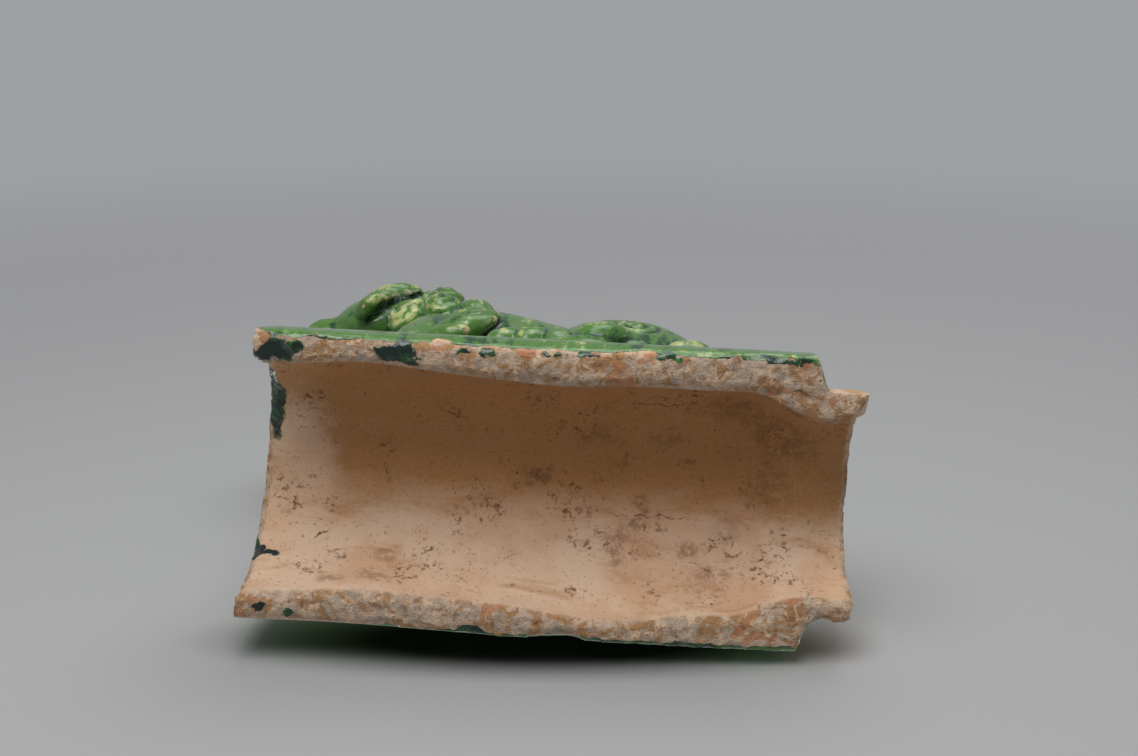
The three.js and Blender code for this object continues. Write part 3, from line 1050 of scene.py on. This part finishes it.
def clay_group():
    """Bare clay. In the hollow it is buff, with an ochre wash laid heavier on the hollow's shaded side as painted
    shade, and specked with iron;
    where it is broken it is ragged, greyish and patched with earth, with cream and orange chips. Recesses are
    darker brown: dirt and painted shade."""
    tree, given, out = group(
        "Bare clay",
        {"Place": "Vector", "Clay": "Color", "Pale": "Color", "Grey": "Color", "Fresh": "Color",
         "Orange": "Color", "Ochre": "Color", "Stain": "Color", "Raised": "Float", "Broken": "Float",
         "Washed": "Float", "Stained": "Float", "Scoured": "Float"},
        {"Colour": "Color", "Height": "Float"})
    place = given["Place"]
    long_way = stretched(tree, place, (0.38, 1.0, 1.0))
    cloud = speckle(tree, place, 0.016, 5, 0.6)
    grain = speckle(tree, place, 0.0007, 4, 0.75)
    drift = speckle(tree, long_way, 0.007, 6, 0.68, 0.7)
    lumps = speckle(tree, place, 0.0020, 5, 0.72)
    clusters = between(tree, speckle(tree, moved(tree, place, (0.3, 0.1, 0.7)), 0.010, 4, 0.6), 0.50, 0.62)

    hollow = mixed(tree, between(tree, cloud, 0.40, 0.64), given["Clay"], given["Pale"])
    # Ochre wash together with painted shade: heavier where the side mask marks the hollow's shaded side.
    wash = summed(tree, given["Washed"], (drift, 0.5, 0.9), (cloud, 0.5, 0.6))
    hollow = mixed(tree, times(tree, between(tree, wash, 0.0, 0.8), 0.92), hollow, given["Ochre"])
    ochre = times(tree, between(tree, drift, 0.52, 0.68), 0.42)
    hollow = mixed(tree, ochre, hollow, given["Ochre"])
    hollow = mixed(tree, times(tree, given["Scoured"], 0.6), hollow, given["Pale"])
    specks = times(tree, between(tree, speckle(tree, place, 0.0015, 5, 0.75, 0.5), 0.52, 0.60), clusters, 0.9)
    fine = times(tree, between(tree, speckle(tree, place, 0.0009, 4, 0.7), 0.60, 0.67), 0.7)
    stained = times(tree, given["Stained"], between(tree, speckle(tree, place, 0.0022, 6, 0.75), 0.40, 0.56))
    marks = maths(tree, "MAXIMUM", maths(tree, "MAXIMUM", specks, fine), stained)
    hollow = mixed(tree, marks, hollow, given["Stain"])

    patches = speckle(tree, place, 0.0048, 6, 0.72, 1.1)
    torn = mixed(tree, between(tree, lumps, 0.34, 0.62), given["Grey"], given["Pale"])
    torn = mixed(tree, times(tree, between(tree, patches, 0.47, 0.58), 0.85), torn, given["Ochre"])
    chips = speckle(tree, moved(tree, place, (0.9, 0.4, 0.2)), 0.0040, 3, 0.6, 0.6)
    torn = mixed(tree, times(tree, between(tree, chips, 0.60, 0.63), 0.9), torn, given["Fresh"])
    flush = speckle(tree, moved(tree, place, (0.2, 0.8, 0.5)), 0.0062, 2, 0.5, 0.5)
    torn = mixed(tree, times(tree, between(tree, flush, 0.645, 0.67), 0.75), torn, given["Orange"])
    pits = between(tree, speckle(tree, place, 0.0010, 3, 0.7), 0.60, 0.68)
    torn = mixed(tree, times(tree, maths(tree, "MAXIMUM", pits, stained), 0.75), torn, given["Stain"])

    base = mixed(tree, given["Broken"], hollow, torn)
    # Darker brown in the recesses: dirt and painted shade.
    dirt_and_painted_shade = times(tree, between(tree, given["Raised"], -0.02, -0.34), 0.55)
    base = mixed(tree, dirt_and_painted_shade, base, given["Stain"])
    base = mixed(tree, times(tree, between(tree, grain, 0.40, 0.72), 0.16), base, given["Pale"])
    tree.links.new(base, out["Colour"])
    smooth = summed(tree, 0.0, (grain, 0.5, 0.22), (speckle(tree, long_way, 0.0026, 4, 0.6), 0.5, 0.55))
    ragged = summed(tree, 0.0, (grain, 0.5, 0.5), (lumps, 0.5, 2.6))
    height = node(tree, "Mix", {0: given["Broken"], 2: smooth, 3: ragged}, data_type="FLOAT").outputs[0]
    tree.links.new(height, out["Height"])
    return tree


def glaze_group():
    """Copper-green glaze: dark where it pooled, cream where it ran thin, streaked, mottled and filmed over."""
    tree, given, out = group(
        "Copper green glaze",
        {"Place": "Vector", "Green": "Color", "Deep": "Color", "Pooled": "Color", "Thin": "Color",
         "Film": "Color", "Raised": "Float", "Proud": "Float", "Gathered": "Float"},
        {"Colour": "Color", "Height": "Float", "Bare": "Float", "Weathered": "Float"})
    place = given["Place"]
    runs = speckle(tree, stretched(tree, place, (1.0, 1.0, 0.16)), 0.0028, 4, 0.6, 0.3)
    mottle = speckle(tree, place, 0.0050, 5, 0.64, 0.9)
    fine = speckle(tree, place, 0.0013, 4, 0.65)
    cloud = speckle(tree, moved(tree, place, (0.5, 0.2, 0.1)), 0.018, 4, 0.55, 0.4)
    thickness = summed(
        tree, maths(tree, "MULTIPLY", given["Raised"], -0.95), (given["Proud"], 0.0, -0.06), (runs, 0.5, 1.8),
        (mottle, 0.5, 1.5), (cloud, 0.5, 1.9), (fine, 0.5, 0.7), (given["Gathered"], 0.0, 0.75))
    shade = mixed(tree, between(tree, thickness, -0.02, 0.34), given["Green"], given["Deep"])
    shade = mixed(tree, between(tree, thickness, 0.38, 0.85), shade, given["Pooled"])
    shade = mixed(tree, between(tree, thickness, -0.28, -0.72), shade, given["Thin"])
    film = speckle(tree, moved(tree, place, (0.7, 0.6, 0.9)), 0.008, 6, 0.70, 1.2)
    weathered = between(tree, film, 0.54, 0.66)
    shade = mixed(tree, times(tree, weathered, 0.34), shade, given["Film"])
    tree.links.new(shade, out["Colour"])
    tree.links.new(weathered, out["Weathered"])
    tree.links.new(summed(tree, 0.0, (mottle, 0.5, 0.45), (cloud, 0.5, 1.6), (fine, 0.5, 0.10)), out["Height"])
    worn = summed(tree, given["Raised"], (given["Proud"], 0.0, 0.10), (mottle, 0.5, 1.6), (fine, 0.5, 0.9))
    tree.links.new(between(tree, worn, 0.66, 0.84), out["Bare"])
    return tree


# Places in tile millimetres, each a middle and radii: glaze spilt on bare clay, glaze lost from the long
# edges, and dark stains in the hollow with how dark they are.
GLAZE_SPILLS = [
    ((9, -56, 0), (9, 5.5, 6)),
    ((17, -54, 0), (6, 4, 4)),
    ((60, -57, 0), (8, 4.5, 4)),
    ((66, -54, 0), (6, 3.5, 4)),
    ((93, -59, 0), (8, 2.0, 3)),
    ((131, -59.5, 0), (15, 2.0, 3)),
    ((171, -59.8, 0), (9, 1.8, 3)),
    ((209, -60.5, 0), (3, 1.6, 3)),
    ((225, -61, 0), (3, 1.6, 3)),
    ((4, -24, 48), (4, 21, 12)),
    ((-1, 37.6, 41), (3, 5, 7)),
    ((4, 41, 34), (7, 3.2, 2.2)),
    ((9, 53, 0), (5, 2.4, 3)),
    ((19, 55, 0), (4, 1.8, 3)),
    ((58, 58, 0), (4, 1.8, 3)),
    ((95, 58.5, 0), (8, 2.0, 3)),
    ((189, 61, 0), (13, 2.2, 3)),
]
GLAZE_LOSSES = [
    ((76, -59, 1), (8, 4, 4)),
    ((155, -60, 1), (10, 3, 4)),
    ((3, -59, 1), (6, 4, 4)),
    ((59, 58, 1), (6, 3, 4)),
    ((130, 59, 1), (12, 3, 4)),
]
DARK_STAINS = [
    ((119, 4.7, 52), (6.5, 5, 5), 0.75),
    ((164, 16, 50.6), (4, 3, 4), 0.6),
    ((161, 23.6, 48), (6, 3.5, 4), 0.6),
    ((155, 35, 42), (5, 8, 6), 0.6),
    ((185, 33, 42), (6, 4, 4), 0.6),
    ((34, 44.5, 15), (6, 5, 4), 0.55),
    ((52, 43.5, 19), (7, 4, 4), 0.5),
    ((56, 39, 34), (5, 4, 4), 0.45),
    ((195, 40, 33), (8, 5, 5), 0.55),
    ((222, -18, 43), (14, 12, 9), 0.55),
    ((205, -30, 43), (16, 9, 8), 0.5),
    ((145, -14, 51), (10, 6, 5), 0.4),
    ((176, -15, 51), (7, 5, 5), 0.45),
    ((219, 5, 47), (10, 12, 6), 0.45),
]

# Places that the ochre wash and its painted shade miss, and thin marks: start, end and half width.
SCOURED_PLACES = [
    ((14, 6, 50), (15, 34, 22)),
    ((190, 30, 44), (16, 8, 12)),
    ((70, 50, 8), (80, 5, 12)),
]
DARK_LINES = [
    ((186, 37, 38), (203, 41, 30), 0.35),
    ((213, 29, 41), (218, 30, 38), 0.3),
    ((30.6, -5.9, 51.8), (32.2, 28.3, 45.6), 0.45),
    ((23.3, 35.2, 39.9), (30.9, 31.3, 43.5), 0.4),
    ((150, -30, 44), (186, -31, 43), 0.4),
    ((150, 20, 49), (192, 21, 48), 0.35),
]
PALE_LINES = [
    ((220, 15.6, 45), (230.5, 15.5, 42), 0.25),
]


def glazed_clay(colours):
    """The piece's one finish: bare clay, with glaze laid over it inside the glazed area."""
    material = bpy.data.materials.new("glazed_clay")
    material.use_nodes = True
    tree = material.node_tree
    tree.nodes.clear()
    place = node(tree, "TexCoord").outputs["Object"]
    kept = {name: node(tree, "Attribute", attribute_name=name).outputs["Fac"]
            for name in ("raised", "proud", "glazed", "broken")}

    def wavered(size, by):
        waver = node(tree, "TexNoise", {"Vector": place, "Scale": 0.5 / size, "Detail": 4.0}).outputs["Color"]
        waver = node(tree, "VectorMath", {0: waver, 1: (0.5, 0.5, 0.5)}, operation="SUBTRACT").outputs[0]
        waver = node(tree, "VectorMath", {0: waver, "Scale": by}, operation="SCALE").outputs[0]
        return node(tree, "VectorMath", {0: place, 1: waver}, operation="ADD").outputs[0]

    ragged = wavered(0.004, 0.014)
    crooked = wavered(0.003, 0.005)

    # What lies on the bare clay.
    inside = times(tree, between(tree, kept["glazed"], -5.0, -9.0), besides(tree, kept["broken"]))
    across = node(tree, "SeparateXYZ", {0: place}).outputs["Y"]
    scoured = highest(tree, [blot(tree, ragged, at, radii, 0.6) for at, radii in SCOURED_PLACES])
    pale = highest(tree, [scoured] + [streak(tree, crooked, *line) for line in PALE_LINES])
    # Painted shade with a real ochre wash: strongest on the hollow's -y side, which lies in shade, fading out
    # towards +y.
    wash_and_painted_shade = times(tree, between(tree, across, 0.034, -0.006), inside, besides(tree, scoured))
    stains = [times(tree, blot(tree, ragged, at, radii, 0.55), depth) for at, radii, depth in DARK_STAINS]
    stains += [streak(tree, crooked, *line) for line in DARK_LINES]
    clay = node(tree, "Group", {
        "Place": place, "Raised": kept["raised"], "Broken": kept["broken"], "Washed": wash_and_painted_shade,
        "Stained": highest(tree, stains), "Scoured": times(tree, pale, inside, 0.6),
        "Clay": colour(colours.clay), "Pale": colour(colours.clay_pale), "Grey": colour(colours.clay_grey),
        "Fresh": colour(colours.clay_fresh), "Orange": colour(colours.clay_orange),
        "Ochre": colour(colours.ochre), "Stain": colour(colours.stain),
    }, node_tree=clay_group())

    # What the glaze does where it was spilt, lost or gathered along its edge.
    spills = highest(tree, [blot(tree, ragged, at, radii, 0.12) for at, radii in GLAZE_SPILLS])
    losses = highest(tree, [blot(tree, ragged, at, radii, 0.12) for at, radii in GLAZE_LOSSES])
    brink = times(tree, between(tree, kept["glazed"], 3.0, 0.8), 0.8)
    glaze = node(tree, "Group", {
        "Place": place, "Raised": kept["raised"], "Proud": kept["proud"],
        "Gathered": maths(tree, "MAXIMUM", brink, spills),
        "Green": colour(colours.glaze), "Deep": colour(colours.glaze_deep),
        "Pooled": colour(colours.glaze_pooled), "Thin": colour(colours.glaze_thin),
        "Film": colour(colours.glaze_film),
    }, node_tree=glaze_group())

    # The wandering boundary between the two.
    edge = maths(tree, "MULTIPLY", maths(tree, "SUBTRACT", speckle(tree, place, 0.0035, 5, 0.65), 0.5), 10.0)
    area = between(tree, maths(tree, "ADD", kept["glazed"], edge), 0.35, 0.75)
    area = maths(tree, "MAXIMUM", area, spills)
    area = times(tree, area, besides(tree, losses))
    area = times(tree, area, besides(tree, times(tree, glaze.outputs["Bare"], 0.8)))

    height = node(tree, "Mix", {0: area, 2: clay.outputs["Height"], 3: glaze.outputs["Height"]}, data_type="FLOAT")
    step = maths(tree, "ADD", height.outputs[0], times(tree, area, 0.35))
    bump = node(tree, "Bump", {"Height": step, "Strength": 1.0, "Distance": MM})
    gloss = maths(tree, "ADD", 0.10, times(tree, glaze.outputs["Weathered"], 0.16))
    surface = node(tree, "BsdfPrincipled", {
        "Base Color": mixed(tree, area, clay.outputs["Colour"], glaze.outputs["Colour"]),
        "Roughness": node(tree, "Mix", {0: area, 2: 0.88, 3: gloss}, data_type="FLOAT").outputs[0],
        "Normal": bump.outputs[0],
    })
    finish = node(tree, "OutputMaterial")
    tree.links.new(surface.outputs[0], finish.inputs["Surface"])
    return material


class GlazeOperator(bpy.types.Operator):
    """Gives the piece its copper-green glaze over bare clay."""

    bl_idname = "ornament.glaze"
    bl_label = "Glaze"

    def execute(self, context):
        whole = bpy.data.objects["ornament_tile_glazed"]
        whole.data.materials.clear()
        whole.data.materials.append(glazed_clay(context.scene.ornament_colours))
        return {"FINISHED"}


# ---- Studio ----

# The camera, in metres of the shared frame.
CAMERA_PLACE = (0.0191, -0.1862, -0.6754)
CAMERA_RIGHT = (0.9987, -0.0475, 0.0169)
CAMERA_UP = (-0.05, -0.9789, 0.1984)
SENSOR_WIDTH = 36.0

# The plane that the tile lies on, on its side, and the shade painted into its colour in the gap under it: middle
# and radii in tile millimetres, and the painted near-black floor colour there.
REST_PLANE = {"normal": (-0.046, -0.996, -0.079), "offset": -0.0737}
GAP = ((120, 72, 26), (112, 30, 30))
PAINTED_GAP_SHADE = (0.012, 0.012, 0.012, 1.0)
FLOOR_SIZE = 12.0

# Soft lights: name, place, aim, size, and the setting that holds their power.
LOW_AIM = (0.0, -0.02, 0.03)
LIGHTS = [
    ("key_light", (-0.2, -1.05, -0.55), LOW_AIM, 0.9, "key_power"),
    ("side_light", (0.25, -1.3, 0.4), LOW_AIM, 1.0, "side_power"),
    ("top_light", (0.0, 1.0, 1.25), (0, 0, 0.1), 1.0, "top_power"),
    ("fill_light_left", (-0.75, 1.1, 0.6), (0, 0, 0.12), 0.8, "fill_power"),
    ("fill_light_right", (1.1, 0.35, 0.6), (0, 0, 0.12), 0.8, "fill_power"),
]
SKY_TINT = (0.95, 0.97, 1.0, 1.0)


def pale_floor(name, tint, fade, gap):
    """A matt floor seen from its front side only, that fades into the surroundings far from its middle and, where a
    gap is given, has deep shade painted into its colour in the gap under the tile, where no light should come
    through from behind."""
    material = bpy.data.materials.new(name)
    material.use_nodes = True
    tree = material.node_tree
    tree.nodes.clear()
    place = node(tree, "TexCoord").outputs["Object"]
    clear = node(tree, "BsdfTransparent")
    behind = node(tree, "NewGeometry").outputs["Backfacing"]
    tone = colour(tint)
    # Painted shade: the floor's colour turns near-black in the gap under the tile.
    if gap:
        world = node(tree, "NewGeometry").outputs["Position"]
        tone = mixed(tree, blot(tree, world, *gap, 0.45), tone, PAINTED_GAP_SHADE)
    matt = node(tree, "BsdfDiffuse", {"Color": tone})
    away = node(tree, "VectorMath", {0: place}, operation="LENGTH").outputs["Value"]
    gone = maths(tree, "MAXIMUM", behind, between(tree, away, *fade))
    side = node(tree, "MixShader", {0: gone, 1: matt.outputs[0], 2: clear.outputs[0]})
    tree.links.new(side.outputs[0], node(tree, "OutputMaterial").inputs["Surface"])
    return material


def soft_light(name, place, aim, size, power):
    data = bpy.data.lights.new(name, "AREA")
    data.shape = "DISK"
    data.size = size
    data.energy = power
    light = bpy.data.objects.new(name, data)
    light.location = place
    light.rotation_euler = (Vector(aim) - Vector(place)).to_track_quat("-Z", "Y").to_euler()
    bpy.context.scene.collection.objects.link(light)
    return light


def floor_plane(name, place, normal, tint, fade, gap=None):
    """A floor that only the camera sees: it neither lights nor shades the tile."""
    deselect()
    turn = Vector(normal).to_track_quat("Z", "Y").to_euler()
    bpy.ops.mesh.primitive_plane_add(size=FLOOR_SIZE, location=place, rotation=turn)
    floor = bpy.context.object
    floor.name = name
    floor.data.materials.append(pale_floor(name, tint, fade, gap))
    floor.visible_diffuse = False
    floor.visible_glossy = False
    floor.visible_transmission = False
    floor.visible_shadow = False


def surroundings(studio):
    """Plain grey all round: one brightness for light and another for what the camera sees."""
    world = bpy.data.worlds.new("plain_surroundings")
    world.use_nodes = True
    tree = world.node_tree
    tree.nodes.clear()
    lit = node(tree, "Background", {"Color": SKY_TINT, "Strength": studio.ambient})
    seen = node(tree, "Background", {"Color": colour(studio.backdrop)})
    path = node(tree, "LightPath").outputs
    in_sight = maths(tree, "MAXIMUM", path["Is Camera Ray"], maths(tree, "MULTIPLY", path["Is Glossy Ray"], 0.8))
    both = node(tree, "MixShader", {0: in_sight, 1: lit.outputs[0], 2: seen.outputs[0]})
    tree.links.new(both.outputs[0], node(tree, "OutputWorld").inputs["Surface"])
    return world


class StudioOperator(bpy.types.Operator):
    """Sets the pale floors, the soft lights, the surroundings and the camera."""

    bl_idname = "ornament.studio"
    bl_label = "Studio"

    def execute(self, context):
        scene = context.scene
        studio = scene.ornament_studio
        normal = Vector(REST_PLANE["normal"]).normalized()
        floor_plane("lying_floor", normal * REST_PLANE["offset"], normal, studio.floor, (0.2, 1.5), GAP)
        floor_plane("standing_floor", (0, 0, -0.0005), (0, 0, 1), studio.standing_floor, (0.3, 1.2))
        lights = {name: soft_light(name, place, aim, size, getattr(studio, power))
                  for name, place, aim, size, power in LIGHTS}
        lights["top_light"].visible_glossy = False
        scene.world = surroundings(studio)
        camera_data = bpy.data.cameras.new("camera")
        camera_data.lens = studio.lens
        camera_data.sensor_width = SENSOR_WIDTH
        camera_data.clip_start = 0.01
        camera_data.clip_end = 60.0
        camera = bpy.data.objects.new("camera", camera_data)
        right, up = Vector(CAMERA_RIGHT).normalized(), Vector(CAMERA_UP).normalized()
        back = right.cross(up)
        up = back.cross(right)
        camera.matrix_world = Matrix.Translation(CAMERA_PLACE) @ Matrix((right, up, back)).transposed().to_4x4()
        scene.collection.objects.link(camera)
        scene.camera = camera
        scene.view_settings.view_transform = "Standard"
        return {"FINISHED"}


# ---- Panel and registration ----

class OrnamentPanel(bpy.types.Panel):
    """The sidebar panel with every size, colour and step."""

    bl_idname = "VIEW3D_PT_ornament"
    bl_label = "Roof Ornament Tile"
    bl_space_type = "VIEW_3D"
    bl_region_type = "UI"
    bl_category = "Ornament"

    def draw(self, context):
        scene = context.scene
        for settings in (scene.ornament_sizes, scene.ornament_colours, scene.ornament_studio):
            for name in settings.bl_rna.properties.keys():
                if name not in ("rna_type", "name"):
                    self.layout.prop(settings, name)
        for operator in OPERATORS:
            self.layout.operator(operator.bl_idname)


GROUPS = {
    "ornament_sizes": OrnamentSizes,
    "ornament_colours": OrnamentColours,
    "ornament_studio": OrnamentStudio,
}
OPERATORS = (
    StudioOperator, BarrelOperator, MassesOperator, ManeOperator, FaceOperator, LimbsOperator, FiringOperator,
    GlazeOperator,
)


def register():
    for cls in (*GROUPS.values(), *OPERATORS, OrnamentPanel):
        bpy.utils.register_class(cls)
    for name, cls in GROUPS.items():
        setattr(bpy.types.Scene, name, bpy.props.PointerProperty(type=cls))


def unregister():
    for name in GROUPS:
        delattr(bpy.types.Scene, name)
    for cls in (OrnamentPanel, *reversed(OPERATORS), *reversed(GROUPS.values())):
        bpy.utils.unregister_class(cls)


def main():
    register()
    bpy.ops.ornament.studio()
    bpy.ops.ornament.barrel()
    bpy.ops.ornament.masses()
    bpy.ops.ornament.mane()
    bpy.ops.ornament.face()
    bpy.ops.ornament.limbs()
    bpy.ops.ornament.firing()
    bpy.ops.ornament.glaze()


if __name__ == "__main__":
    main()
